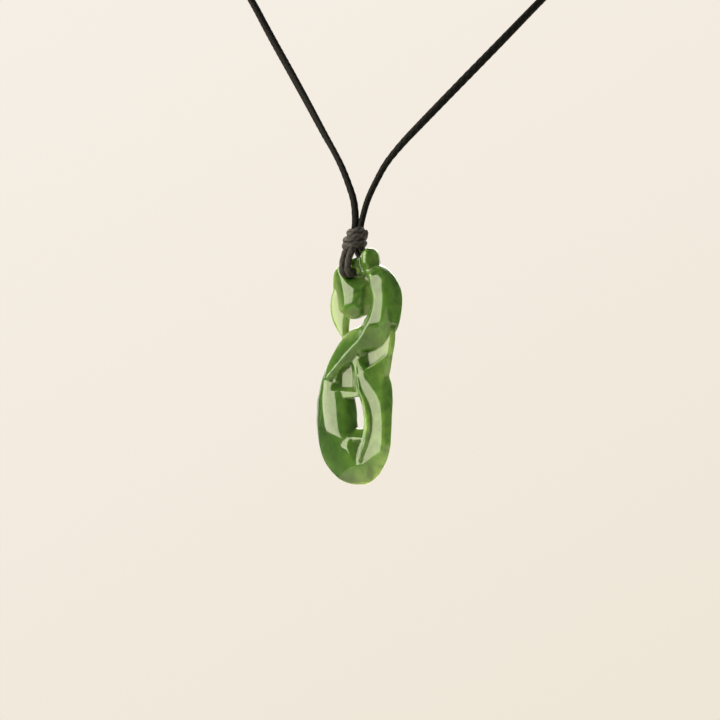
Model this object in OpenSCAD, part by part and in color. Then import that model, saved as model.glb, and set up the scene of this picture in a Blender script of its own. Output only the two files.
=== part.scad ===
// Greenstone manaia pendant on a waxed neck cord.
// The origin is the nape, the top of the neck cord, where the necklace hangs.
// +X is the wearer's left, -Y the front face of the carving, +Z up.

/* [Stone] */
// Width of the carved stone, seen from the front
stone_w = 20.8; // [18:0.1:23]
// Thickness of the carved stone
stone_t = 6.8; // [5.8:0.1:7.6]
// Height of the carved stone
stone_h = 52; // [47:0.5:58]
// Diameter of the drilled hole that the cord runs through
hole_d = 3.3; // [3.3:0.1:3.5]

/* [Cord] */
// Thickness of the waxed cotton cord
cord_d = 1.5; // [1.3:0.05:1.5]
// Width of the knot above the stone
knot_w = 5.6; // [5:0.1:6]
// Height of the knot above the stone
knot_h = 4.8; // [4.4:0.1:5]

/* [Closure] */
// Length of the wrapped knot that closes the cord at the nape
nape_l = 18; // [12:1:24]
// Thickness of that wrapped knot
nape_d = 4.4; // [4:0.1:5]

/* [Hidden] */

// The hole's centre, from the nape
hole_at = [0, -26, -160];
// Height of the knot's middle above the hole
knot_z = 8.0;
// Side to side distance of the two turns of cord in the hole
turn_gap = cord_d + 0.05;
// Wraps of cord on the knot above the stone and on the one at the nape
knot_wraps = 3;
nape_wraps = round(nape_l / 2);
// How much fatter a wrap is than its share of the knot's length, so that it meets the next
wrap_fat = 1.06;
// Sides of the cord's tube, and of a limb of the carving
cord_sides = 8;
limb_sides = 18;
// Rings between two stations of a limb, and rings that round off its end
limb_steps = 4;
cap_rings = 3;
// The small flat that a limb's round end stops at, as a part of a ring's step
cap_flat = 0.35;

// Stations along the limbs of the carving, from the hole's centre:
// [x, z, half width, depth in front, depth behind]
body_rows = [
    [ 4.6,   0.4, 1.7, 2.6, 2.6],
    [ 6.8,  -0.8, 2.1, 3.1, 3.1],
    [ 8.3,  -2.7, 2.5, 3.4, 3.4],
    [ 8.8,  -5.2, 2.5, 3.4, 3.4],
    [ 8.5,  -8.1, 2.7, 3.4, 3.4],
    [ 7.6, -10.8, 2.8, 3.4, 3.4],
    [ 6.0, -13.1, 2.9, 3.4, 3.4],
    [ 3.3, -14.9, 2.9, 3.4, 3.4],
    [ 0.5, -16.5, 3.0, 3.4, 3.3],
    [-1.8, -18.2, 2.6, 3.4, 3.2],
    [-3.9, -20.3, 2.1, 3.3, 3.1],
    [-5.9, -22.8, 1.7, 3.2, 3.0],
    [-7.3, -25.8, 1.6, 2.8, 2.8],
    [-7.9, -29.0, 1.3, 2.4, 2.4]
];
tail_rows = [
    [-5.2, -27.6, 3.0, 2.8, 2.9],
    [-5.3, -29.2, 3.9, 3.0, 3.0],
    [-5.2, -31.6, 4.2, 3.1, 3.1],
    [-4.7, -34.6, 4.4, 3.1, 3.1],
    [-3.0, -38.0, 4.8, 3.2, 3.2],
    [ 0.3, -40.5, 5.9, 3.2, 3.2],
    [ 3.8, -38.5, 4.4, 3.2, 3.2],
    [ 6.1, -35.0, 2.8, 3.1, 3.0],
    [ 6.7, -31.6, 2.3, 3.0, 3.0],
    [ 6.4, -28.4, 2.6, 3.0, 3.0],
    [ 5.9, -25.4, 2.9, 3.0, 3.0],
    [ 5.5, -22.4, 2.9, 2.4, 3.0]
];
wing_rows = [
    [ 5.4, -21.6, 2.9, 1.8, 3.0],
    [ 5.8, -19.0, 3.2, 0.8, 3.0],
    [ 6.0, -16.4, 3.2, 0.4, 3.0],
    [ 6.2, -14.0, 3.0, 0.4, 2.8]
];
head_rows = [
    [-0.4,   0.6, 3.1, 2.2, 2.2],
    [-0.8,  -1.6, 4.5, 2.4, 2.4],
    [-0.7,  -4.0, 4.7, 2.8, 2.7],
    [ 0.2,  -6.2, 3.8, 2.8, 2.7],
    [ 0.8,  -8.2, 2.7, 2.5, 2.5]
];
brow_rows = [
    [ 0.6,   0.9, 1.9, 2.2, 2.2],
    [ 3.0,   1.2, 1.9, 2.3, 2.3],
    [ 5.2,   0.2, 1.9, 2.5, 2.5]
];
nub_rows = [
    [ 4.5,   0.4, 2.3, 2.4, 2.4],
    [ 3.9,   2.2, 2.4, 2.4, 2.4],
    [ 3.6,   3.2, 2.4, 2.3, 2.3]
];
tongue_rows = [
    [-3.8,  -3.4, 1.4, 1.6, 1.6],
    [-4.3,  -5.6, 1.5, 1.6, 1.6],
    [-4.2,  -8.0, 1.6, 1.6, 1.6],
    [-3.7, -10.4, 1.5, 1.6, 1.6],
    [-3.0, -12.4, 1.3, 1.7, 1.7],
    [-1.8, -14.2, 1.2, 1.8, 1.8]
];
// The ridge from the crossing of the limbs down to the tail's right limb
ridge_rows = [
    [ 2.0, -18.6, 0.9, 3.2, 2.4],
    [ 2.5, -21.2, 0.9, 3.1, 2.4],
    [ 3.2, -24.0, 1.0, 3.0, 2.4],
    [ 4.4, -27.0, 1.0, 2.9, 2.4]
];
// The thin web between the limbs of the tail, as [x, z] corners, and its two faces
web_outline = [
    [-6.8, -24.0], [-4.0, -21.0], [0, -18.0], [3.8, -18.0],
    [ 4.4, -25.0], [ 4.0, -27.0], [1.6, -26.8], [-2.2, -27.4], [-5.4, -28.6]
];
web_front = 0.6;
web_back = 2.5;

// The turn of the hanging loop on the right, from the knot down through the hole and back,
// as [x, y, z] from the hole's centre; the other turn mirrors it
turn_x = turn_gap / 2;
loop_half = [
    [turn_x, -1.3, 6.6],
    [turn_x, -2.2, 5.4],
    [turn_x, -3.0, 4.2],
    [turn_x, -3.4, 2.8],
    [turn_x, -3.4, 1.5],
    [turn_x, -2.9, 0.5],
    [turn_x, -1.8, 0.2],
    [turn_x,  0.0, 0.2],
    [turn_x,  1.8, 0.2],
    [turn_x,  2.9, 0.5],
    [turn_x,  3.4, 1.5],
    [turn_x,  3.4, 2.8],
    [turn_x,  3.0, 4.2],
    [turn_x,  2.2, 5.4],
    [turn_x,  1.3, 6.6]
];

// The right half of the neck cord's route, from the knot up and back to the nape,
// as [x, y, z] from the hole's centre; the left half mirrors it
half_route = [
    [ 0.8,  0.8,   9.8],
    [ 1.0,  1.2,  12.0],
    [ 2.0,  1.8,  16.0],
    [ 4.0,  2.3,  20.0],
    [ 6.5,  2.9,  24.0],
    [ 9.9,  4.0,  28.0],
    [13.8,  5.4,  32.0],
    [21.6,  8.5,  40.0],
    [29.5, 11.6,  48.0],
    [37.4, 14.6,  56.0],
    [45.2, 17.7,  64.0],
    [56.0, 21.6,  76.0],
    [63.4, 24.0,  90.6],
    [67.2, 25.4, 106.0],
    [66.0, 26.0, 122.0],
    [57.6, 26.0, 138.0],
    [43.0, 26.0, 150.6],
    [24.0, 26.0, 158.0],
    [ 9.0, 26.0, 160.0]
];
other_half = [for (k = [len(half_route) - 1:-1:0]) [-half_route[k].x, half_route[k].y, half_route[k].z]];
route = concat(half_route, other_half);
// Rings between two points of the cord's route and of the loop
cord_steps = 2;

// A row of a table, or its first or last row past the ends
function row(rows, k) = rows[max(0, min(len(rows) - 1, k))];

// A point of the smooth curve through four rows, between the middle two
function between(a, b, c, d, t) =
    0.5 * (2 * b + (c - a) * t + (2 * a - 5 * b + 4 * c - d) * t * t + (3 * b - a - 3 * c + d) * t * t * t);

// The rows with smooth ones put in between
function smoothed(rows, steps) = [
    for (k = [0:len(rows) - 2], j = [0:steps - 1])
        between(row(rows, k - 1), rows[k], rows[k + 1], row(rows, k + 2), j / steps),
    rows[len(rows) - 1]
];

// The direction of a limb's path at row k, as [x, z]
function heading(rows, k) =
    let (a = row(rows, k - 1), b = row(rows, k + 1), d = [b.x - a.x, b.y - a.y]) d / norm(d);

// A rounded square wave, for the section of a limb: round at 1, squarer below
function squared(v, square) = sign(v) * pow(abs(v), square);

// One section of a limb, moved on by `on` along its path and shrunk by `share`
function section(rows, k, on, share, square) =
    let (r = rows[k], d = heading(rows, k))
    [
        for (j = [0:limb_sides - 1])
            let (
                a = 360 * (j + 0.5) / limb_sides,
                across = share * r[2] * squared(cos(a), square),
                deep = share * squared(sin(a), square)
            )
            [
                r.x + on * d.x + across * d.y,
                deep < 0 ? deep * r[3] : deep * r[4],
                r.y + on * d.y - across * d.x
            ]
    ];

// Triangles that join ring after ring of points, with both ends closed
function skin(rings, sides) = concat(
    [[for (j = [0:sides - 1]) j]],
    [
        for (k = [0:rings - 2], j = [0:sides - 1])
            let (a = k * sides + j, b = k * sides + (j + 1) % sides)
            each [[a, a + sides, b + sides], [a, b + sides, b]]
    ],
    [[for (j = [sides - 1:-1:0]) (rings - 1) * sides + j]]
);

// A limb of the carving: a rounded bar along a path, with round ends
module limb(table, square = 0.62, cap = 0.8) {
    rows = smoothed(table, limb_steps);
    last = len(rows) - 1;
    turn = 90 / (cap_rings + cap_flat);
    rings = concat(
        [for (c = [cap_rings:-1:1]) section(rows, 0, -cap * rows[0][2] * sin(c * turn), cos(c * turn), square)],
        [for (k = [0:last]) section(rows, k, 0, 1, square)],
        [for (c = [1:cap_rings]) section(rows, last, cap * rows[last][2] * sin(c * turn), cos(c * turn), square)]
    );
    polyhedron([for (r = rings) each r], skin(len(rings), limb_sides), convexity = 6);
}

// A cord: a round tube along a route of points that never runs along `beside`,
// the direction that its sections are lined up by
module tube(points, d, beside) {
    last = len(points) - 1;
    rings = [
        for (k = [0:last])
            let (
                way = points[min(k + 1, last)] - points[max(k - 1, 0)],
                on = way / norm(way),
                side = cross(on, beside) / norm(cross(on, beside)),
                up = cross(side, on)
            )
            [
                for (j = [0:cord_sides - 1])
                    points[k] + d / 2 * (cos(360 * j / cord_sides) * side + sin(360 * j / cord_sides) * up)
            ]
    ];
    polyhedron([for (r = rings) each r], skin(len(rings), cord_sides), convexity = 8);
}

// A wrapped knot standing on its end: wraps of cord side by side round a core
module wrapped_knot(d, length, wraps) {
    wrap_r = wrap_fat * length / wraps / 2;
    pitch = (length - 2 * wrap_r) / (wraps - 1);
    rotate_extrude($fn = 48) {
        square([d / 2 - wrap_r, length]);
        for (k = [0:wraps - 1])
            translate([d / 2 - wrap_r, wrap_r + k * pitch])
                circle(wrap_r);
    }
}

// The carving before its hole is drilled, cut and sized from one block
module carving() {
    resize([stone_w, stone_t, stone_h])
        union() {
            limb(body_rows);
            limb(tail_rows);
            limb(wing_rows);
            limb(head_rows, square = 0.75, cap = 0.7);
            limb(brow_rows);
            limb(nub_rows, square = 0.8, cap = 0.9);
            limb(tongue_rows, square = 0.8);
            limb(ridge_rows, square = 0.8);
            translate([0, web_back, 0])
                rotate([90, 0, 0])
                    linear_extrude(web_back + web_front)
                        polygon(web_outline);
        }
}

// The carved greenstone, with its hole drilled from front to back
module manaia() {
    color([0.30, 0.50, 0.18])
        translate(hole_at)
            difference() {
                carving();
                rotate([90, 0, 0])
                    cylinder(d = hole_d, h = 3 * stone_t, center = true, $fn = 48);
            }
}

// Two turns of the cord, down in front of the stone, through its hole and up behind it
module hanging_loop() {
    color([0.10, 0.09, 0.08])
        translate(hole_at)
            for (side = [-1, 1])
                tube([for (p = smoothed(loop_half, cord_steps)) [side * p.x, p.y, p.z]], cord_d, [1, 0, 0]);
}

// The knot above the stone, which ties the loop to both strands of the neck cord
module pendant_knot() {
    color([0.12, 0.11, 0.10])
        translate(hole_at + [0, 0, knot_z - knot_h / 2])
            wrapped_knot(knot_w, knot_h, knot_wraps);
}

// The neck cord, from the knot round the neck and back to it
module neck_cord() {
    color([0.10, 0.09, 0.08])
        translate(hole_at)
            tube(smoothed(route, cord_steps), cord_d, [0, 1, 0]);
}

// The wrapped knot that closes the cord behind the neck
module nape_knot() {
    color([0.12, 0.11, 0.10])
        rotate([0, 90, 0])
            translate([0, 0, -nape_l / 2])
                wrapped_knot(nape_d, nape_l, nape_wraps);
}

manaia();
hanging_loop();
pendant_knot();
neck_cord();
nape_knot();
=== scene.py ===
"""Greenstone manaia pendant hanging on its waxed neck cord, in metres."""
import math

import bpy
import numpy as np
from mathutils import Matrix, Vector
from mathutils.bvhtree import BVHTree


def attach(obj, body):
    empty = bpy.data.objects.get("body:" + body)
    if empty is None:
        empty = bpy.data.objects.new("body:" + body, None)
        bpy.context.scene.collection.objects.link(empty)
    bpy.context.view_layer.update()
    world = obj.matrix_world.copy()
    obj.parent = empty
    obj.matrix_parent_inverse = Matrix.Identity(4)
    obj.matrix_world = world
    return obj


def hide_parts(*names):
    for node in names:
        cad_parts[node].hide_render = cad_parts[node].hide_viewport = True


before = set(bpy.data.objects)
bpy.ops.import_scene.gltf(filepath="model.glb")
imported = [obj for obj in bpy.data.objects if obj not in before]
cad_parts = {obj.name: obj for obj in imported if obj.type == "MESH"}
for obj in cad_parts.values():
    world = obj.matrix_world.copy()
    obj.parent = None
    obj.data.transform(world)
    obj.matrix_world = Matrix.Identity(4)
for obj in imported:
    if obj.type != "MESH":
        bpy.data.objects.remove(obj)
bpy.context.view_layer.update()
bpy.ops.object.select_all(action="DESELECT")


# Camera
# It looks level at the stone, from 40 degrees to the right of its front face, as the photo does.
MM = 0.001
HOLE = Vector((0, -26, -160)) * MM
VIEW_TURN = math.radians(40)
CAMERA_AWAY = 450 * MM
SENSOR_WIDE = 36
PICTURE_WIDE = 158 * MM
PICTURE_RIGHT = 1.0 * MM
PICTURE_DROP = 19.1 * MM
NEAREST_SEEN = 0.01
across = Vector((math.cos(VIEW_TURN), math.sin(VIEW_TURN), 0))
towards_camera = Vector((math.sin(VIEW_TURN), -math.cos(VIEW_TURN), 0))
looked_at = HOLE + PICTURE_RIGHT * across - Vector((0, 0, PICTURE_DROP))
bpy.ops.object.camera_add(
    location=looked_at + CAMERA_AWAY * towards_camera,
    rotation=(math.radians(90), 0, VIEW_TURN),
)
camera = bpy.context.object
camera.name = "photo_camera"
camera.data.sensor_width = SENSOR_WIDE
camera.data.lens = SENSOR_WIDE * CAMERA_AWAY / PICTURE_WIDE
camera.data.clip_start = NEAREST_SEEN
bpy.context.scene.camera = camera
bpy.context.scene.view_settings.view_transform = "Standard"


# Neck cord
# A braided cotton cord, waxed and dyed black, in one length round the neck. Both ends are tied
# into the knot above the stone, and a wrapped knot at the nape closes the loop.
CORD_WIDE_HALF = 0.87 * MM
CORD_THIN_HALF = 0.66 * MM
CORD_SIDES = 28
SPAN_POINTS = 24
RING_STEP = 0.2 * MM
SEAM_GAP = 1e-7
BRAID_PITCH = 1.9 * MM
BRAID_STRANDS = 4
BRAID_RELIEF = 0.075 * MM
# Heights on the braid, in shares of its relief: how far a strand rounds off to its edges and rises
# over the next one, the height that counts as the cord's own, and the highest
STRAND_ROUND = 0.8
STRAND_WEAVE = 0.55
MEAN_STRAND = 1.2
HIGH_STRAND = 1.6
# Right half of the route, from the knot up to the nape: x, y, z in mm from the hole in the stone
HALF_ROUTE = [
    (0.8, 0.8, 9.8), (1.0, 1.2, 12.0), (2.0, 1.8, 16.0), (4.0, 2.3, 20.0), (6.5, 2.9, 24.0),
    (9.9, 4.0, 28.0), (13.8, 5.4, 32.0), (21.6, 8.5, 40.0), (29.5, 11.6, 48.0),
    (37.4, 14.6, 56.0), (45.2, 17.7, 64.0), (56.0, 21.6, 76.0), (63.4, 24.0, 90.6),
    (67.2, 25.4, 106.0), (66.0, 26.0, 122.0), (57.6, 26.0, 138.0), (43.0, 26.0, 150.6),
    (24.0, 26.0, 158.0), (9.0, 26.0, 160.0),
]
# How far the cord's wide side is turned at each point of the half route, in degrees
RIGHT_TURN = np.interp(range(len(HALF_ROUTE)), [0, 4, 7, 9, 18], [80, 60, 10, -35, -60])
LEFT_TURN = np.interp(range(len(HALF_ROUTE)), [0, 5, 10, 18], [50, 0, 85, 120])


def smooth_line(points, step):
    """Points a step apart on the smooth curve through the given ones."""
    given = np.array(points, float)
    padded = np.vstack([given[:1], given, given[-1:]])
    line = []
    for k in range(len(given) - 1):
        a, b, c, d = padded[k:k + 4]
        for t in np.linspace(0, 1, SPAN_POINTS, endpoint=False):
            line.append(0.5 * (2 * b + (c - a) * t + (2 * a - 5 * b + 4 * c - d) * t ** 2
                               + (3 * b - a - 3 * c + d) * t ** 3))
    line = np.array(line + [given[-1]])
    spans = np.linalg.norm(np.diff(line[:, :3], axis=0), axis=1)
    far = np.concatenate([[0], np.cumsum(spans)])
    at = np.linspace(0, far[-1], max(3, round(far[-1] / step) + 1))
    return np.stack([np.interp(at, far, line[:, axis]) for axis in range(line.shape[1])], axis=1)


def wrapped_grid(name, rings):
    """A closed skin: a grid wrapped round rings of points, its seam merged and its ends filled."""
    count, sides = rings.shape[:2]
    bpy.ops.mesh.primitive_grid_add(x_subdivisions=sides, y_subdivisions=count - 1)
    skin = bpy.context.object
    skin.name = name
    skin.data.vertices.foreach_set("co", np.concatenate([rings, rings[:, :1]], axis=1).ravel())
    bpy.ops.object.mode_set(mode="EDIT")
    bpy.ops.mesh.select_all(action="SELECT")
    bpy.ops.mesh.remove_doubles(threshold=SEAM_GAP)
    bpy.ops.mesh.select_all(action="SELECT")
    bpy.ops.mesh.fill_holes(sides=0)
    bpy.ops.mesh.select_all(action="SELECT")
    bpy.ops.mesh.normals_make_consistent(inside=False)
    bpy.ops.object.mode_set(mode="OBJECT")
    bpy.ops.object.shade_smooth()
    return skin


def keep_on_points(piece, name, kind, field, values):
    """Keeps a value for each point of a piece, for its material to read."""
    attribute = piece.data.attributes.new(name, kind, "POINT")
    attribute.data.foreach_set(field, values.astype(np.float32).ravel())


def strand_lie(own, other, weave):
    """How high the strands of one lay stand, how far off their middle a point is, and which it is."""
    number = np.round(own / (2 * np.pi))
    off_middle = (own - 2 * np.pi * number) / np.pi
    over = np.where(number % 2 == 0, 1, -1) * np.cos(other / 2)
    return np.sqrt(1 - STRAND_ROUND * off_middle ** 2) + weave * over, off_middle, number


def braided_cord(name, route, wide_side, wide=CORD_WIDE_HALF, thin=CORD_THIN_HALF):
    """A braided cord along [x, y, z] or [x, y, z, degrees that its wide side is turned]."""
    line = smooth_line(route, RING_STEP)
    count = len(line)
    along = np.linspace(0, (count - 1) * RING_STEP, count)[:, None]
    way = np.gradient(line[:, :3], axis=0)
    way /= np.linalg.norm(way, axis=1, keepdims=True)
    up = np.zeros((count, 3))
    last = np.array(wide_side, float)
    for k in range(count):
        last = last - (last @ way[k]) * way[k]
        last /= np.linalg.norm(last)
        up[k] = last
    side = np.cross(way, up)
    turned = np.radians(line[:, 3:4]) if line.shape[1] > 3 else np.zeros((count, 1))
    angle = np.linspace(0, 2 * np.pi, CORD_SIDES, endpoint=False)[None, :]
    left_lay = BRAID_STRANDS * angle - 2 * np.pi * along / BRAID_PITCH
    right_lay = BRAID_STRANDS * angle + 2 * np.pi * along / BRAID_PITCH
    left_high, left_off, left_number = strand_lie(left_lay, right_lay, STRAND_WEAVE)
    right_high, right_off, right_number = strand_lie(right_lay, left_lay, -STRAND_WEAVE)
    on_top = left_high > right_high
    high = np.where(on_top, left_high, right_high)
    relief = BRAID_RELIEF * (high - MEAN_STRAND)
    wide_out = np.cos(angle) * (wide + relief)
    thin_out = np.sin(angle) * (thin + relief)
    side_out = np.cos(turned) * wide_out - np.sin(turned) * thin_out
    up_out = np.sin(turned) * wide_out + np.cos(turned) * thin_out
    rings = line[:, None, :3] + side_out[..., None] * side[:, None] + up_out[..., None] * up[:, None]
    skin = wrapped_grid(name, rings)
    fibre_place = np.stack([
        np.where(on_top, left_off, right_off),
        np.broadcast_to(along / BRAID_PITCH, on_top.shape),
        np.where(on_top, left_number, right_number + 0.5),
    ], axis=-1)
    keep_on_points(skin, "fibre_place", "FLOAT_VECTOR", "vector", fibre_place)
    keep_on_points(skin, "strand_height", "FLOAT", "value", high / HIGH_STRAND)
    return skin, line[:, :3]


def add_node(tree, kind, sockets=(), **settings):
    """A shader node with its settings, its sockets given values or fed by other nodes' outputs."""
    node = tree.nodes.new("ShaderNode" + kind)
    for name, value in settings.items():
        setattr(node, name, value)
    for socket, value in dict(sockets).items():
        if isinstance(value, bpy.types.NodeSocket):
            tree.links.new(value, node.inputs[socket])
        else:
            node.inputs[socket].default_value = value
    return node


def colour_steps(tree, source, steps):
    """A colour ramp fed by source, of (position, colour) steps."""
    ramp = add_node(tree, "ValToRGB", {"Fac": source})
    elements = ramp.color_ramp.elements
    while len(elements) < len(steps):
        elements.new(0.5)
    for element, (place, colour) in zip(elements, steps):
        element.position = place
        element.color = (*colour, 1)
    return ramp.outputs["Color"]


def new_material(name):
    """A material, its node tree and its Principled shader."""
    material = bpy.data.materials.new(name)
    material.use_nodes = True
    return material, material.node_tree, material.node_tree.nodes["Principled BSDF"]


def set_values(shader, **values):
    """Sets a shader's sockets, whose names are given with underscores for spaces."""
    for name, value in values.items():
        shader.inputs[name.replace("_", " ")].default_value = value


# The fibre of all the cotton: near black down between the strands, painted shade in the braid's grooves,
# and charcoal fibres that stand up where the cord is worn
GROOVE_SHADE_BLACK = (0.002, 0.0018, 0.0017)
FIBRE_DARK = (0.0068, 0.0063, 0.0062)
FIBRE_PALE = (0.0215, 0.0202, 0.0205)
NOTHING = (0, 0, 0)
GROOVE_SHADE_STEPS = [(0.12, GROOVE_SHADE_BLACK), (0.38, NOTHING)]
FIBRE_STEPS = [(0.12, NOTHING), (0.38, FIBRE_DARK), (0.60, FIBRE_PALE)]
FIBRE_STRETCH = (3.2, 0.9, 7.0)
cotton_fibre = bpy.data.node_groups.new("cotton_fibre_and_groove_shade", "ShaderNodeTree")
for socket, way, kind in (
    ("Wear", "INPUT", "NodeSocketFloat"),
    ("Fuzz", "INPUT", "NodeSocketFloat"),
    ("Color", "OUTPUT", "NodeSocketColor"),
    ("Normal", "OUTPUT", "NodeSocketVector"),
):
    cotton_fibre.interface.new_socket(socket, in_out=way, socket_type=kind)
given = cotton_fibre.nodes.new("NodeGroupInput")
made = cotton_fibre.nodes.new("NodeGroupOutput")
place = add_node(cotton_fibre, "Attribute", attribute_name="fibre_place")
stretched = add_node(
    cotton_fibre, "Mapping", {"Vector": place.outputs["Vector"], "Scale": FIBRE_STRETCH})
fibres = add_node(
    cotton_fibre, "TexNoise", {"Vector": stretched.outputs["Vector"], "Scale": 1.6, "Detail": 4})
height = add_node(cotton_fibre, "Attribute", attribute_name="strand_height")
shade = add_node(
    cotton_fibre, "Math", {0: fibres.outputs["Fac"], 1: height.outputs["Fac"]}, operation="MULTIPLY")
# Painted shade: the colour falls to near black where the strands dip into the braid's grooves
groove_shade_colour = colour_steps(cotton_fibre, shade.outputs[0], GROOVE_SHADE_STEPS)
bare_fibre = colour_steps(cotton_fibre, shade.outputs[0], FIBRE_STEPS)
worn_fibre = add_node(
    cotton_fibre, "VectorMath", {0: bare_fibre, "Scale": given.outputs["Wear"]}, operation="SCALE")
fibre_with_groove_shade = add_node(cotton_fibre, "VectorMath", {0: groove_shade_colour, 1: worn_fibre.outputs["Vector"]}, operation="ADD")
standing_up = add_node(cotton_fibre, "Bump", {
    "Strength": 0.6, "Distance": given.outputs["Fuzz"], "Height": fibres.outputs["Fac"]})
cotton_fibre.links.new(fibre_with_groove_shade.outputs["Vector"], made.inputs["Color"])
cotton_fibre.links.new(standing_up.outputs["Normal"], made.inputs["Normal"])


def waxed_cotton(name, wear, fuzz, shine):
    """Black waxed cotton, paler and rougher the more it is worn."""
    material, tree, shader = new_material(name)
    fibre = add_node(tree, "Group", node_tree=cotton_fibre)
    set_values(fibre, Wear=wear, Fuzz=fuzz)
    tree.links.new(fibre.outputs["Color"], shader.inputs["Base Color"])
    tree.links.new(fibre.outputs["Normal"], shader.inputs["Normal"])
    set_values(shader, Roughness=0.6, Specular_IOR_Level=shine)
    return material


cord_black = waxed_cotton("waxed_black_cotton", wear=0.42, fuzz=0.06 * MM, shine=0.07)
cord_route = [(*(HOLE + MM * Vector(p)), turn) for p, turn in zip(HALF_ROUTE, RIGHT_TURN)]
cord_route += [(*(HOLE + MM * Vector((-x, y, z))), turn)
               for (x, y, z), turn in reversed(list(zip(HALF_ROUTE, LEFT_TURN)))]
neck_cord, cord_line = braided_cord("braided_neck_cord", cord_route, towards_camera)
neck_cord.data.materials.append(cord_black)
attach(neck_cord, "cord")
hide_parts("neck_cord")


# Hanging loop
# Two turns of the same cord, side by side: down the front of the stone, back through its hole
# and up behind it to the knot.
LOOP_WIDE_HALF = 0.78 * MM
LOOP_THIN_HALF = 0.74 * MM
TURN_APART = 0.78
# The way of one turn: y, z in mm from the hole, from the front leg to the rear leg
LOOP_HALF = [
    (-0.9, 6.6), (-1.8, 5.4), (-2.6, 4.2), (-3.2, 2.8), (-3.5, 1.4), (-3.4, 0.3), (-2.8, -0.25),
    (-1.8, -0.25), (0, 0.0), (1.8, 0.2), (2.9, 0.5), (3.4, 1.4), (3.4, 2.4), (2.8, 3.4),
    (1.95, 4.4), (1.2, 5.4), (0.9, 6.6),
]


def joined(name, pieces):
    """One piece made of several."""
    bpy.ops.object.select_all(action="DESELECT")
    for piece in pieces:
        piece.select_set(True)
    bpy.context.view_layer.objects.active = pieces[0]
    bpy.ops.object.join()
    bpy.context.object.name = name
    return bpy.context.object


knot_black = waxed_cotton("worn_black_cotton", wear=3.4, fuzz=0.16 * MM, shine=0.28)
loop_turns = []
for side in (-1, 1):
    turn = [HOLE + MM * Vector((side * TURN_APART, y, z)) for y, z in LOOP_HALF]
    strand, _ = braided_cord(f"loop_turn_{side}", turn, (1, 0, 0), LOOP_WIDE_HALF, LOOP_THIN_HALF)
    strand.data.materials.append(knot_black)
    loop_turns.append(strand)
hanging_loop = joined("loop_through_the_hole", loop_turns)
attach(hanging_loop, "cord")
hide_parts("hanging_loop")


# Knot above the stone
# The cord is wound over itself and pulled tight over both strands, and one cut end shows at
# its right side.
WOUND_WIDE_HALF = 0.92 * MM
CUT_END_WIDE_HALF = 0.80 * MM
PULLED_FLAT = 0.06 * MM
# The wound cord and its end: mm from the hole, across the view, towards the camera and up
KNOT_WRAPS = [
    (-0.2, -0.5, 8.4), (-0.9, -0.7, 8.9), (-1.1, 0.3, 8.6), (-0.6, 1.2, 8.6), (0.3, 1.4, 9.0),
    (1.0, 0.8, 9.3), (1.2, -0.2, 9.1), (0.5, -1.2, 8.5), (-0.9, -1.4, 7.7), (-1.8, -0.5, 7.3),
    (-1.8, 0.7, 7.1), (-0.9, 1.6, 7.3), (0.5, 1.7, 7.9), (1.4, 1.0, 8.2), (1.8, -0.2, 8.0),
    (1.1, -1.4, 7.3), (-0.6, -1.7, 6.5), (-1.9, -1.0, 6.1), (-2.1, 0.3, 5.9), (-1.4, 1.5, 5.9),
    (0.1, 1.8, 6.2), (1.3, 1.2, 6.6), (1.7, 0.0, 6.5), (1.2, -1.0, 6.2),
]
KNOT_END = [(0.2, 0.3, 7.6), (1.0, 0.8, 8.3), (1.8, 0.9, 8.6), (2.4, 0.6, 8.7)]
knot_strands = []
for name, wraps, wide in (
    ("wound_cord", KNOT_WRAPS, WOUND_WIDE_HALF),
    ("cut_end", KNOT_END, CUT_END_WIDE_HALF),
):
    knot_route = [HOLE + MM * (x * across + y * towards_camera + Vector((0, 0, z)))
                  for x, y, z in wraps]
    strand, _ = braided_cord(name, knot_route, (0, 0, 1), wide, wide - PULLED_FLAT)
    strand.data.materials.append(knot_black)
    knot_strands.append(strand)
pendant_knot = joined("knot_above_the_stone", knot_strands)
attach(pendant_knot, "cord")
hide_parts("pendant_knot")


# Knot at the nape
# The photo doesn't show how the loop is closed; it is finished plainly, with the cord's end
# wound tightly round both runs.
NAPE_WRAPS = 9
NAPE_HALF_LONG = 8.2 * MM
NAPE_WRAP_OUT = 1.45 * MM
NAPE_WIDE_HALF = 0.82 * MM
NAPE_THIN_HALF = 0.72 * MM
WRAP_POINTS = 12
nape_route = []
for k in range(NAPE_WRAPS * WRAP_POINTS + 1):
    turn = 2 * math.pi * k / WRAP_POINTS
    share = k / (NAPE_WRAPS * WRAP_POINTS)
    nape_route.append((NAPE_HALF_LONG * (2 * share - 1), NAPE_WRAP_OUT * math.cos(turn),
                       NAPE_WRAP_OUT * math.sin(turn)))
nape_knot, _ = braided_cord(
    "wrapped_nape_knot", nape_route, (1, 0, 0), NAPE_WIDE_HALF, NAPE_THIN_HALF)
nape_knot.data.materials.append(knot_black)
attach(nape_knot, "cord")
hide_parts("nape_knot")


# Carved greenstone
# One piece of nephrite, sawn and ground to its outline, pierced, and polished all over. It is built
# limb by limb, joined, and then cut and ground flat in places as the carver did.
FACE_POINTS = 61
LIMB_STEP = 0.35
CAP_RINGS = 6
CAP_BLUNT = 0.3
LEAST_SPAN = 0.001
GROOVE_SIDES = 16
GROOVE_STEP = 0.2
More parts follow.
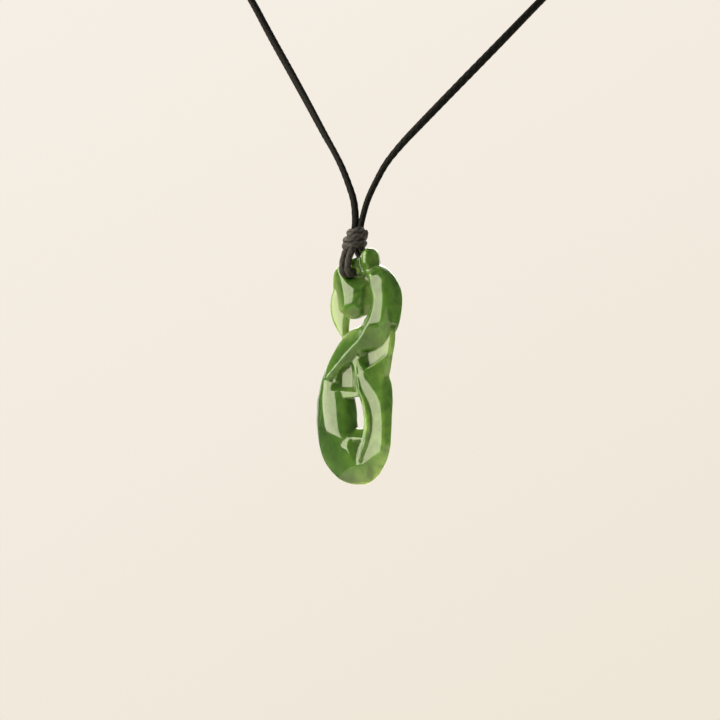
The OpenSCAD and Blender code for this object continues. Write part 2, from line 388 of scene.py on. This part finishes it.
# Stations along each limb, in mm from the hole: x, z, half width, depth in front and behind, how far
# its faces fall to the right and to the left edge of the way along it, where their ridge lies from
# -1 to 1, and the power of the fall
BODY = [
    (4.6, 0.4, 1.7, 1.9, 2.6, 0.8, 1.6, 0.3, 1.0), (6.7, -0.7, 2.1, 3.1, 3.0, 1.2, 1.8, 0.1, 1.0),
    (7.9, -2.7, 2.6, 3.4, 3.2, 1.1, 0.7, 0.25, 1.1), (8.55, -5.2, 2.65, 3.4, 3.3, 1.3, 0.1, 0.2, 1.1),
    (8.3, -8.1, 2.8, 3.4, 3.3, 1.3, 0.1, 0.2, 1.1), (7.3, -10.9, 3.3, 3.4, 3.3, 1.6, 0.7, 0.2, 1.1),
    (5.6, -13.1, 3.6, 3.4, 3.4, 1.9, 2.4, 0.15, 1.0), (2.7, -14.5, 3.0, 3.4, 3.4, 2.4, 1.4, -0.3, 1.0),
    (0.3, -15.5, 3.2, 3.4, 3.3, 2.6, 1.0, -0.5, 1.0), (-1.7, -17.3, 3.05, 3.4, 3.2, 2.2, 0.8, -0.5, 1.0),
    (-3.5, -19.2, 2.65, 3.3, 3.1, 1.8, 0.6, -0.5, 1.0),
    (-5.25, -21.35, 1.95, 3.1, 2.9, 1.2, 0.4, -0.4, 1.0),
    (-6.3, -23.1, 1.2, 2.8, 2.8, 0.7, 0.3, -0.2, 1.5),
]
TAIL = [
    (-6.8, -22.0, 1.5, 2.1, 2.4, 0.9, 0.2, -0.2, 1.8), (-6.8, -24.2, 2.8, 2.7, 2.7, 1.4, 0.2, -0.3, 1.8),
    (-6.2, -27.0, 4.5, 3.0, 3.0, 1.7, 0.3, -0.2, 1.8), (-5.8, -30.5, 5.1, 3.1, 3.1, 1.8, 0.3, -0.2, 1.7),
    (-5.7, -33.8, 5.2, 3.1, 3.1, 1.9, 0.2, -0.4, 1.4), (-4.3, -38.9, 5.3, 3.3, 3.2, 2.5, 0.0, -1.0, 1.0),
    (0.8, -41.4, 5.5, 3.3, 3.1, 2.6, 0.0, -1.0, 1.0), (4.8, -39.3, 3.95, 2.1, 2.2, 1.2, 0.0, -1.0, 1.0),
    (6.3, -35.6, 2.1, 1.2, 1.9, 0.3, 0.3, 0.0, 2.0), (6.4, -32.6, 1.8, 1.1, 1.8, 0.3, 0.3, 0.0, 2.0),
]
RIGHT_LIMB = [
    (7.2, -12.4, 3.4, 2.4, 2.6, 0.0, 1.8, 0.5, 1.0), (6.9, -15.0, 3.5, 2.5, 2.8, 0.0, 2.0, 0.5, 1.0),
    (6.4, -17.4, 3.5, 2.6, 2.8, 0.0, 2.1, 0.5, 1.0), (5.9, -20.2, 3.4, 2.7, 2.8, 0.0, 2.0, 0.45, 1.0),
    (5.5, -22.6, 3.2, 2.8, 2.8, 0.1, 1.8, 0.3, 1.0), (5.75, -25.2, 3.15, 2.5, 2.8, -0.3, 0.9, -0.3, 1.0),
    (6.35, -28.4, 2.8, 1.9, 2.2, -0.6, 0.2, -0.8, 1.0),
    (6.6, -31.6, 2.6, 1.5, 1.7, -0.8, 0.05, -0.93, 1.0),
    (6.5, -34.6, 2.7, 1.45, 1.5, -0.8, 0.05, -0.93, 1.0),
    (6.0, -37.6, 3.0, 1.45, 1.4, -0.75, 0.05, -0.93, 1.0),
    (4.9, -40.4, 3.0, 1.45, 1.4, -0.6, 0.05, -0.93, 1.0),
    (3.5, -42.8, 2.1, 1.4, 1.4, -0.4, 0.05, -0.93, 1.0),
]
HEAD = [
    (-0.6, 0.6, 3.3, 2.3, 2.2, 0.5, 0.3, -0.1, 2.0), (-1.3, -1.6, 4.8, 2.7, 2.5, 0.9, 0.3, -0.2, 2.0),
    (-1.2, -4.0, 5.0, 2.9, 2.8, 1.0, 0.4, -0.2, 2.0), (-0.2, -6.2, 4.1, 2.9, 2.8, 1.0, 0.5, -0.2, 2.0),
    (0.6, -8.0, 2.9, 2.5, 2.4, 0.8, 0.6, -0.2, 1.8),
]
CHEEK = [
    (2.2, -0.6, 2.3, 1.8, 2.4, 0.0, 2.1, 1.0, 1.0), (3.3, -3.6, 2.6, 2.1, 2.6, 0.0, 2.4, 1.0, 1.0),
    (3.6, -6.0, 2.6, 2.25, 2.5, 0.0, 2.2, 1.0, 1.0), (3.0, -7.4, 2.1, 2.1, 2.3, 0.0, 1.9, 1.0, 1.0),
    (2.1, -8.1, 1.5, 1.7, 1.9, 0.0, 1.2, 1.0, 1.0),
]
BROW = [
    (0.6, 1.2, 2.2, 2.1, 2.2, 0.6, 0.6, 0.0, 2.0), (3.0, 1.4, 2.2, 2.0, 2.3, 0.8, 0.8, 0.0, 2.0),
    (5.2, 0.2, 1.9, 1.8, 2.5, 0.8, 0.8, 0.0, 2.0),
]
NUB = [
    (4.5, 0.4, 2.3, 1.9, 2.4, 1.7, 1.7, 0.2, 2.0), (4.15, 2.2, 2.35, 2.5, 2.4, 2.0, 2.0, 0.3, 2.0),
    (4.0, 3.5, 2.3, 2.4, 2.3, 1.9, 1.9, 0.3, 2.0),
]
TONGUE = [
    (-4.1, -3.4, 1.7, 1.1, 0.6, 0.3, 0.2, 0.0, 1.5), (-4.7, -5.6, 2.1, 1.2, 0.5, 0.3, 0.2, 0.0, 1.5),
    (-4.6, -7.8, 2.4, 1.25, 0.4, 0.3, 0.2, 0.0, 1.5), (-3.9, -10.0, 2.4, 1.25, 0.4, 0.3, 0.2, 0.0, 1.5),
    (-3.4, -12.0, 1.7, 1.25, 0.5, 0.3, 0.3, 0.0, 1.5), (-2.8, -13.6, 0.9, 1.3, 0.8, 0.4, 0.4, 0.0, 1.5),
]
RIDGE = [
    (2.5, -20.3, 0.5, 2.9, 2.4, 0.3, 0.3, 0.0, 2.0), (2.9, -23.5, 0.5, 3.15, 2.4, 0.3, 0.3, 0.0, 2.0),
    (3.8, -26.2, 0.5, 3.15, 2.4, 0.3, 0.3, 0.0, 2.0), (4.8, -28.3, 0.5, 3.15, 2.4, 0.3, 0.3, 0.0, 2.0),
    (5.4, -30.7, 0.5, 3.1, 2.4, 0.3, 0.3, 0.0, 2.0), (5.5, -33.5, 0.5, 3.0, 2.4, 0.3, 0.3, 0.0, 2.0),
    (4.8, -36.5, 0.45, 2.85, 2.4, 0.3, 0.3, 0.0, 2.0), (3.7, -38.9, 0.4, 2.6, 2.4, 0.3, 0.3, 0.0, 2.0),
    (2.9, -40.9, 0.3, 2.3, 2.0, 0.3, 0.3, 0.0, 2.0),
]
SCOOP_RIM = [
    (2.7, -19.2, 0.45, 2.7, 2.4, 0.2, 0.2, 0.0, 2.0), (3.5, -20.3, 0.45, 2.95, 2.4, 0.2, 0.2, 0.0, 2.0),
    (4.5, -21.3, 0.4, 2.9, 2.4, 0.2, 0.2, 0.0, 2.0), (5.8, -22.6, 0.3, 2.4, 2.4, 0.2, 0.2, 0.0, 2.0),
]
# Outlines of the slabs between the limbs and of the cuts, and how deep their two sides lie: corners
# x, z in mm from the hole, with a third number where a corner lies deeper than its side
WEB_OUTLINE = [
    (-6.8, -24.0), (-4.0, -20.8), (0, -17.5), (2.3, -17.9), (3.2, -20.6), (4.6, -25.0), (4.0, -27.0),
    (1.6, -27.2), (-2.6, -27.6), (-5.4, -28.6),
]
WEB_SIDES = (-2.05, 2.5)
SILL_FRONT = [(-2.6, -34.2, 2.1), (4.8, -34.2, 2.1), (4.8, -36.2, 0), (1.4, -36.8, 0), (-2.6, -36.0, 0)]
SILL_BACK = [(-2.6, -34.2), (4.8, -34.2), (4.8, -36.2), (1.4, -36.8), (-2.6, -36.0)]
SILL_SIDES = (-2.1, 2.3)
SCOOP_FRONT = [
    (2.1, -17.3), (0.9, -19.2), (1.3, -19.7), (3.8, -20.9), (5.6, -21.4), (6.8, -20.7), (8.8, -18.9),
    (13.8, -17.4), (13.8, -8.2), (2.3, -8.2),
]
SCOOP_FLOOR = [
    (3.9, -16.8), (4.0, -18.0), (4.2, -19.3), (4.4, -20.4), (4.9, -20.3), (6.1, -19.8), (8.4, -18.4),
    (12.0, -17.0), (12.0, -10.0), (3.9, -10.0),
]
SCOOP_SIDES = (-4.2, -0.6)
RECESS_FRONT = [
    (2.1, -19.1), (0.4, -19.9), (-0.9, -20.9), (-2.3, -21.7), (-3.9, -22.7), (-5.1, -23.9),
    (-5.6, -25.2), (-5.4, -26.3), (-3.0, -26.9), (0.6, -27.4), (4.8, -27.7), (4.5, -25.7),
    (4.2, -23.7), (3.8, -21.9), (3.2, -20.3), (2.7, -19.5),
]
RECESS_FLOOR = [
    (-0.7, -19.9), (-1.8, -20.2), (-2.7, -20.5), (-3.1, -21.1), (-3.3, -21.9), (-3.3, -22.8),
    (-3.3, -23.9), (-3.2, -24.9), (-2.4, -25.1), (-1.4, -25.1), (-0.5, -25.1), (-0.4, -24.1),
    (-0.4, -23.0), (-0.4, -21.7), (-0.4, -20.6), (-0.5, -20.1),
]
RECESS_SIDES = (-3.8, -0.4)
RECESS_SLANT = 0.17
# Fine groove cut between the right limb and its ridge: points x, y, z
GROOVE_LINE = [
    (2.9, -3.0, -21.9), (3.7, -3.1, -24.2), (4.6, -3.1, -26.6), (5.6, -3.0, -29.3),
    (5.95, -2.9, -32.2), (5.25, -2.8, -35.4), (4.0, -2.7, -38.4), (3.1, -2.5, -40.8),
]
GROOVE_RADIUS = 0.3
# Flat facets ground on the stone: a point x, y, z on each and the way that it faces
HEAD_FACETS = [
    ((-1.08, -2.8, -4.17), (-0.5, -1, -0.08)), ((-0.6, -2.85, -6.9), (0.05, -1, -0.62)),
    ((-1.68, -2.8, -1.54), (0.5, -1, 0.75)),
]
TAIL_FACET = ((-1.75, -3.15, -34.0), (0.42, -1, 0.0))
BROW_FACET = ((1.6, -2.1, 1.5), (0.5, -1, 0.3))
SHOULDER_FACET = ((6.1, -3.2, -0.15), (0.5, -1, 1.0))
BOTTOM_FACETS = [((2.9, -1.98, -42.1), (0.49, -1, -0.69)), ((-2.8, -1.5, -43.2), (0.095, -1, -0.65))]


def limb(name, stations, square=5.5, cap=0.8, back_fall=0.8):
    """A bar swept through stations, with ridged or crowned faces, rounded edges and round ends."""
    rows = smooth_line([(row[0], 0, *row[1:]) for row in stations], LIMB_STEP)
    heading = np.gradient(rows[:, [0, 2]], axis=0)
    heading /= np.linalg.norm(heading, axis=1, keepdims=True)
    s = np.sin(np.linspace(-np.pi / 2, np.pi / 2, FACE_POINTS))
    close = (1 - np.abs(s) ** square) ** (1 / square)

    def ring(k, on, share):
        x, _, z, half, front, back, right, left, ridge, power = rows[k]
        past_ridge = np.abs(s - ridge) / max(1 - ridge, LEAST_SPAN)
        before_ridge = np.abs(ridge - s) / max(1 + ridge, LEAST_SPAN)
        fall = np.where(s > ridge, right * past_ridge ** power, left * before_ridge ** power)
        fore = -(front - fall) * close
        rear = (back - back_fall * fall) * close
        wide = share * half * np.concatenate([s, s[-2:0:-1]])
        deep = share * np.concatenate([fore, rear[-2:0:-1]])
        way_x, way_z = heading[k]
        return np.stack([x + on * way_x + wide * way_z, deep, z + on * way_z - wide * way_x], axis=1)

    steps = np.radians(90 * np.arange(1, CAP_RINGS + 1) / (CAP_RINGS + CAP_BLUNT))
    rings = [ring(0, -cap * rows[0][3] * math.sin(t), math.cos(t)) for t in steps[::-1]]
    rings += [ring(k, 0, 1) for k in range(len(rows))]
    rings += [ring(-1, cap * rows[-1][3] * math.sin(t), math.cos(t)) for t in steps]
    return wrapped_grid(name, np.array(HOLE) + MM * np.array(rings))


def slab(name, near, far, sides, far_slant=0):
    """A block between two outlines, one at the depth of each side; far_slant tilts the far one."""
    bpy.ops.mesh.primitive_circle_add(vertices=len(near), fill_type="NGON")
    block = bpy.context.object
    block.name = name
    bpy.ops.object.mode_set(mode="EDIT")
    bpy.ops.mesh.select_all(action="SELECT")
    bpy.ops.mesh.extrude_region_move(TRANSFORM_OT_translate={"value": (0, 0, 1)})
    bpy.ops.object.mode_set(mode="OBJECT")
    rim = [v for v in block.data.vertices if v.co.z < 0.5]
    top = [v for v in block.data.vertices if v.co.z >= 0.5]
    for ring, outline, depth, slant in ((rim, near, sides[0], 0), (top, far, sides[1], far_slant)):
        ring.sort(key=lambda v: math.atan2(v.co.y, v.co.x))
        for corner, (x, z, *deeper) in zip(ring, outline):
            corner.co = HOLE + MM * Vector((x, depth + slant * x + sum(deeper), z))
    bpy.ops.object.mode_set(mode="EDIT")
    bpy.ops.mesh.select_all(action="SELECT")
    bpy.ops.mesh.normals_make_consistent(inside=False)
    bpy.ops.object.mode_set(mode="OBJECT")
    return block


def groove(name, points, radius):
    """A round bar along points, for cutting a groove."""
    line = smooth_line(points, GROOVE_STEP)
    way = np.gradient(line, axis=0)
    way /= np.linalg.norm(way, axis=1, keepdims=True)
    side = np.cross(way, (0, 1, 0))
    side /= np.linalg.norm(side, axis=1, keepdims=True)
    up = np.cross(side, way)
    angle = np.linspace(0, 2 * np.pi, GROOVE_SIDES, endpoint=False)[None, :, None]
    rings = line[:, None] + radius * (np.cos(angle) * side[:, None] + np.sin(angle) * up[:, None])
    return wrapped_grid(name, np.array(HOLE) + MM * rings)


def take_in_hand(piece):
    """Selects one piece and nothing else, and makes it the active one."""
    bpy.ops.object.select_all(action="DESELECT")
    piece.select_set(True)
    bpy.context.view_layer.objects.active = piece


def grind_flat(piece, point, faces):
    """Takes off all of a piece that lies outside the plane through a point."""
    take_in_hand(piece)
    bpy.ops.object.mode_set(mode="EDIT")
    bpy.ops.mesh.select_all(action="SELECT")
    bpy.ops.mesh.bisect(
        plane_co=HOLE + MM * Vector(point), plane_no=faces, use_fill=True, clear_outer=True)
    bpy.ops.object.mode_set(mode="OBJECT")


def finish_modifier(piece, kind, **settings):
    """Adds a modifier to a piece and applies it."""
    modifier = piece.modifiers.new(kind.lower(), kind)
    for name, value in settings.items():
        setattr(modifier, name, value)
    bpy.context.view_layer.objects.active = piece
    bpy.ops.object.modifier_apply(modifier=modifier.name)


def cut_away(piece, tool):
    """Cuts a tool's shape out of a piece and deletes the tool."""
    finish_modifier(piece, "BOOLEAN", object=tool, operation="DIFFERENCE", solver="MANIFOLD")
    bpy.data.objects.remove(tool)


head = limb("head", HEAD, square=4, cap=0.7)
cheek = limb("cheek", CHEEK, square=3)
body = limb("body", BODY)
brow = limb("brow", BROW, square=4)
tail = limb("tail", TAIL, square=3.2, back_fall=0.5)
for point, faces in HEAD_FACETS:
    grind_flat(head, point, faces)
grind_flat(cheek, *HEAD_FACETS[2])
grind_flat(brow, *BROW_FACET)
grind_flat(body, *SHOULDER_FACET)
grind_flat(tail, *TAIL_FACET)
right_limb = limb("right_limb", RIGHT_LIMB, square=14)
web = slab("web", WEB_OUTLINE, WEB_OUTLINE, WEB_SIDES)
sill = slab("sill", SILL_FRONT, SILL_BACK, SILL_SIDES)
for piece in (right_limb, web):
    cut_away(piece, slab("scoop", SCOOP_FRONT, SCOOP_FLOOR, SCOOP_SIDES))
stone = joined("polished_greenstone", [
    body, tail, right_limb, web, sill, head, cheek, brow,
    limb("nub", NUB, square=3),
    limb("tongue", TONGUE, square=3),
    limb("ridge", RIDGE, square=3),
    limb("scoop_rim", SCOOP_RIM, square=3),
])
ROUGH_VOXEL = 0.15 * MM
FINE_VOXEL = 0.173 * MM
DRILL_RADIUS = 1.65 * MM
DRILL_LONG = 12 * MM
SHARPEST_SMOOTH = math.radians(40)
finish_modifier(stone, "REMESH", mode="VOXEL", voxel_size=ROUGH_VOXEL)
cut_away(stone, slab("recess", RECESS_FRONT, RECESS_FLOOR, RECESS_SIDES, RECESS_SLANT))
cut_away(stone, groove("groove", GROOVE_LINE, GROOVE_RADIUS))
for point, faces in BOTTOM_FACETS:
    grind_flat(stone, point, faces)
finish_modifier(stone, "REMESH", mode="VOXEL", voxel_size=FINE_VOXEL)
finish_modifier(stone, "SMOOTH", factor=0.5, iterations=4)
bpy.ops.mesh.primitive_cylinder_add(
    vertices=64, radius=DRILL_RADIUS, depth=DRILL_LONG, location=HOLE, rotation=(math.radians(90), 0, 0))
cut_away(stone, bpy.context.object)
take_in_hand(stone)
bpy.ops.object.shade_smooth_by_angle(angle=SHARPEST_SMOOTH)

# How thick the stone is under each point of its surface, for the light that comes through it
THICKEST = 7 * MM
JUST_INSIDE = 0.02 * MM
WELL_INSIDE = 0.5 * MM
THIN_SKIN = 0.6 * MM
BLUR_PASSES = 12
BLUR = 0.6
corners = [v.co for v in stone.data.vertices]
inner = BVHTree.FromPolygons(corners, [tuple(p.vertices) for p in stone.data.polygons])
thickness = np.zeros(len(corners), np.float32)
for k, vertex in enumerate(stone.data.vertices):
    start = vertex.co - JUST_INSIDE * vertex.normal
    straight_in = inner.ray_cast(start, -vertex.normal, THICKEST)[3] or THICKEST
    inside = vertex.co - WELL_INSIDE * vertex.normal
    front_to_back = sum(inner.ray_cast(inside, (0, way, 0), THICKEST)[3] or THICKEST for way in (-1, 1))
    thickness[k] = min(straight_in, front_to_back if straight_in > THIN_SKIN else THICKEST)
edges = np.array([e.vertices[:] for e in stone.data.edges])
neighbours = np.maximum(np.bincount(edges.ravel(), minlength=len(thickness)), 1)
for _ in range(BLUR_PASSES):
    total = np.bincount(edges[:, 0], thickness[edges[:, 1]], len(thickness))
    total += np.bincount(edges[:, 1], thickness[edges[:, 0]], len(thickness))
    thickness = (1 - BLUR) * thickness + BLUR * total / neighbours
keep_on_points(stone, "stone_thickness", "FLOAT", "value", thickness / THICKEST)

# The green pales where the stone is thin, painted light coming through it, and deepens with the stone's
# thickness
GREEN_AND_LIGHT_THROUGH_STEPS = [
    (0.08, (0.16, 0.20, 0.08)), (0.32, (0.125, 0.22, 0.05)), (0.55, (0.078, 0.165, 0.027)),
    (0.95, (0.05, 0.125, 0.016)),
]
CLOUD_STEPS = [(0.35, (0.72, 0.76, 0.80)), (0.52, (1, 1, 1)), (0.68, (1.25, 1.18, 1.30))]
SPECK_STEPS = [(0.16, (0.25, 0.28, 0.30)), (0.26, (1, 1, 1))]
PALE_GREEN = (0.17, 0.25, 0.085, 1)
PALE_ACROSS = (1, 0, 0.433)
UPWARDS = (0, 0, 1)
greenstone, jade_tree, jade = new_material("nephrite")


def zone(direction, start, full):
    """Grows from 0 to 1 in a direction, between two distances from the hole in mm."""
    at_hole = Vector(direction).dot(HOLE)
    along_it = add_node(jade_tree, "VectorMath", {0: spot, 1: direction}, operation="DOT_PRODUCT")
    return add_node(jade_tree, "MapRange", {
        "Value": along_it.outputs["Value"],
        "From Min": at_hole + start * MM,
        "From Max": at_hole + full * MM,
    }).outputs["Result"]


def mixed(first, second, share=1, blend="MULTIPLY"):
    """One colour of the stone with a share of another mixed in."""
    return add_node(jade_tree, "Mix", {"Factor": share, "A": first, "B": second},
                    data_type="RGBA", blend_type=blend).outputs["Result"]


spot = add_node(jade_tree, "TexCoord").outputs["Object"]
thick = add_node(jade_tree, "Attribute", attribute_name="stone_thickness")
# Painted light: the colour pales where the stone is thin, as if lit through
green = colour_steps(jade_tree, thick.outputs["Fac"], GREEN_AND_LIGHT_THROUGH_STEPS)
clouds = add_node(jade_tree, "TexNoise", {"Vector": spot, "Scale": 260, "Detail": 4, "Distortion": 1.2})
green = mixed(green, colour_steps(jade_tree, clouds.outputs["Fac"], CLOUD_STEPS))

# The tongue and the left edge of the head are mixed towards a pale green
pale = add_node(jade_tree, "Math", {
    0: zone(PALE_ACROSS, -3.9, -6.3),
    1: zone(UPWARDS, -15.5, -13.0),
}, operation="MULTIPLY")
green = mixed(green, PALE_GREEN, pale.outputs[0], "MIX")

# Painted light and shade: the green runs a little paler on the right side, painted light coming through,
# and deeper at the lower left, painted shade
for direction, start, full, tint in (
    ((1, 0, -0.12), 9.6, 11.6, (1.35, 1.32, 1.4, 1)),
    ((1, 0, 0.5), -20.5, -24.0, (0.62, 0.66, 0.85, 1)),
):
    green = mixed(green, tint, zone(direction, start, full))

# A few dark mineral specks
specks = add_node(jade_tree, "TexVoronoi", {"Vector": spot, "Scale": 190, "Randomness": 1})
rare = add_node(
    jade_tree, "Math", {0: specks.outputs["Distance"], 1: specks.outputs["Color"]}, operation="ADD")
green = mixed(green, colour_steps(jade_tree, rare.outputs[0], SPECK_STEPS))
jade_tree.links.new(green, jade.inputs["Base Color"])
set_values(jade, Roughness=0.05, IOR=1.61, Subsurface_Weight=1.0, Subsurface_Radius=(0.8, 1.0, 0.4),
           Subsurface_Scale=4.0 * MM, Transmission_Weight=0.3)
depth_colour = add_node(
    jade_tree, "VolumeAbsorption", {"Color": (0.25, 0.62, 0.06, 1), "Density": 260})
jade_tree.links.new(
    depth_colour.outputs["Volume"], jade_tree.nodes["Material Output"].inputs["Volume"])
stone.data.materials.clear()
stone.data.materials.append(greenstone)
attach(stone, "stone")
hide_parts("manaia")


# Floor and light
# A pale floor below the hanging stone, and a soft box to its left, a bounce card below it and a
# lit backdrop behind it.
FLOOR_LEVEL = -0.42
FLOOR_RADIUS = 8
FLOOR_CREAM = (0.52, 0.47, 0.40, 1)
FLOOR_FADES = (0.3, 0.75)
CREAM = (0.896, 0.828, 0.735)
CREAM_TOP = (0.925, 0.865, 0.790)
CREAM_LOW = (0.850, 0.785, 0.672)
LIT_BY_WORLD = 0.85
MIRRORED_WORLD = 0.12
STONE_MIDDLE = HOLE - Vector((0, 0, 21 * MM))
BOUNCE_FROM_STONE = Vector((0.51, 0.06, -0.2))
bpy.ops.mesh.primitive_circle_add(
    vertices=96, radius=FLOOR_RADIUS, fill_type="NGON", location=(0, 0, FLOOR_LEVEL))
floor = bpy.context.object
floor.name = "pale_floor"
floor_paint, tree, shader = new_material("cream_floor")
set_values(shader, Base_Color=FLOOR_CREAM, Roughness=0.9, Specular_IOR_Level=0)
place = add_node(tree, "TexCoord")
reach = add_node(tree, "VectorMath", {0: place.outputs["Object"]}, operation="LENGTH")
spread = add_node(tree, "MapRange", {
    "Value": reach.outputs["Value"], "From Min": FLOOR_FADES[0], "From Max": FLOOR_FADES[1]})
clear = add_node(tree, "BsdfTransparent")
fade = add_node(tree, "MixShader", {
    "Fac": spread.outputs["Result"], 1: shader.outputs["BSDF"], 2: clear.outputs["BSDF"]})
tree.links.new(fade.outputs["Shader"], tree.nodes["Material Output"].inputs["Surface"])
floor.data.materials.append(floor_paint)
floor.visible_glossy = False

# The camera sees a cream backdrop, painted lighter at the top and darker towards the lower right as the
# light falls on it; the stone is lit by an even cream, and it mirrors less of it
world = bpy.data.worlds.new("cream_studio")
bpy.context.scene.world = world
world.use_nodes = True
tree = world.node_tree
seen = tree.nodes["Background"]
facing = add_node(tree, "TexCoord")
down_right = tuple(0.5 * across - Vector((0, 0, 0.9)))
slope = add_node(
    tree, "VectorMath", {0: facing.outputs["Generated"], 1: down_right}, operation="DOT_PRODUCT")
centred = add_node(
    tree, "Math", {0: slope.outputs["Value"], 1: 2.0, 2: 0.5}, operation="MULTIPLY_ADD")
# Painted light on the backdrop: lighter at the top, darker and yellower towards the lower right
backdrop = colour_steps(tree, centred.outputs[0], [(0.0, CREAM_TOP), (0.45, CREAM), (1.0, CREAM_LOW)])
tree.links.new(backdrop, seen.inputs["Color"])
path = add_node(tree, "LightPath")
strength = add_node(tree, "MapRange", {
    "Value": path.outputs["Is Glossy Ray"], "To Min": LIT_BY_WORLD, "To Max": MIRRORED_WORLD})
dim = add_node(tree, "Background", {"Color": (*CREAM, 1), "Strength": strength.outputs["Result"]})
pick = add_node(tree, "MixShader", {
    "Fac": path.outputs["Is Camera Ray"], 1: dim.outputs["Background"], 2: seen.outputs["Background"]})
tree.links.new(pick.outputs["Shader"], tree.nodes["World Output"].inputs["Surface"])


def panel(name, azimuth, elevation, away, wide, tall, radiance, colour):
    """A soft panel facing the stone; azimuth is 0 in front of the stone and 40 at the camera."""
    turn = math.radians(azimuth)
    rise = math.radians(elevation)
    out = Vector((math.sin(turn) * math.cos(rise), -math.cos(turn) * math.cos(rise), math.sin(rise)))
    bpy.ops.object.light_add(type="AREA", location=STONE_MIDDLE + away * out)
    light = bpy.context.object
    light.name = name
    light.rotation_mode = "QUATERNION"
    light.rotation_quaternion = out.to_track_quat("Z", "Y")
    light.data.shape = "RECTANGLE"
    light.data.size = wide
    light.data.size_y = tall
    light.data.energy = radiance * math.pi * wide * tall
    light.data.color = colour
    light.visible_camera = False
    return light


panel("soft_box", azimuth=-43, elevation=22.5, away=0.5, wide=0.61, tall=0.77, radiance=5.5,
      colour=(1.0, 0.93, 0.72))
panel("backdrop_light", azimuth=220, elevation=5, away=0.8, wide=1.4, tall=1.4, radiance=1.15,
      colour=(1.0, 0.95, 0.86))
panel("back_light", azimuth=207, elevation=26, away=0.75, wide=1.1, tall=0.24, radiance=4.5,
      colour=(1.0, 0.96, 0.9))
bounce = panel("bounce_card", azimuth=0, elevation=-89.9, away=0.2, wide=1.38, tall=1.12,
               radiance=1.05, colour=(1.0, 0.94, 0.60))
bounce.location = STONE_MIDDLE + BOUNCE_FROM_STONE
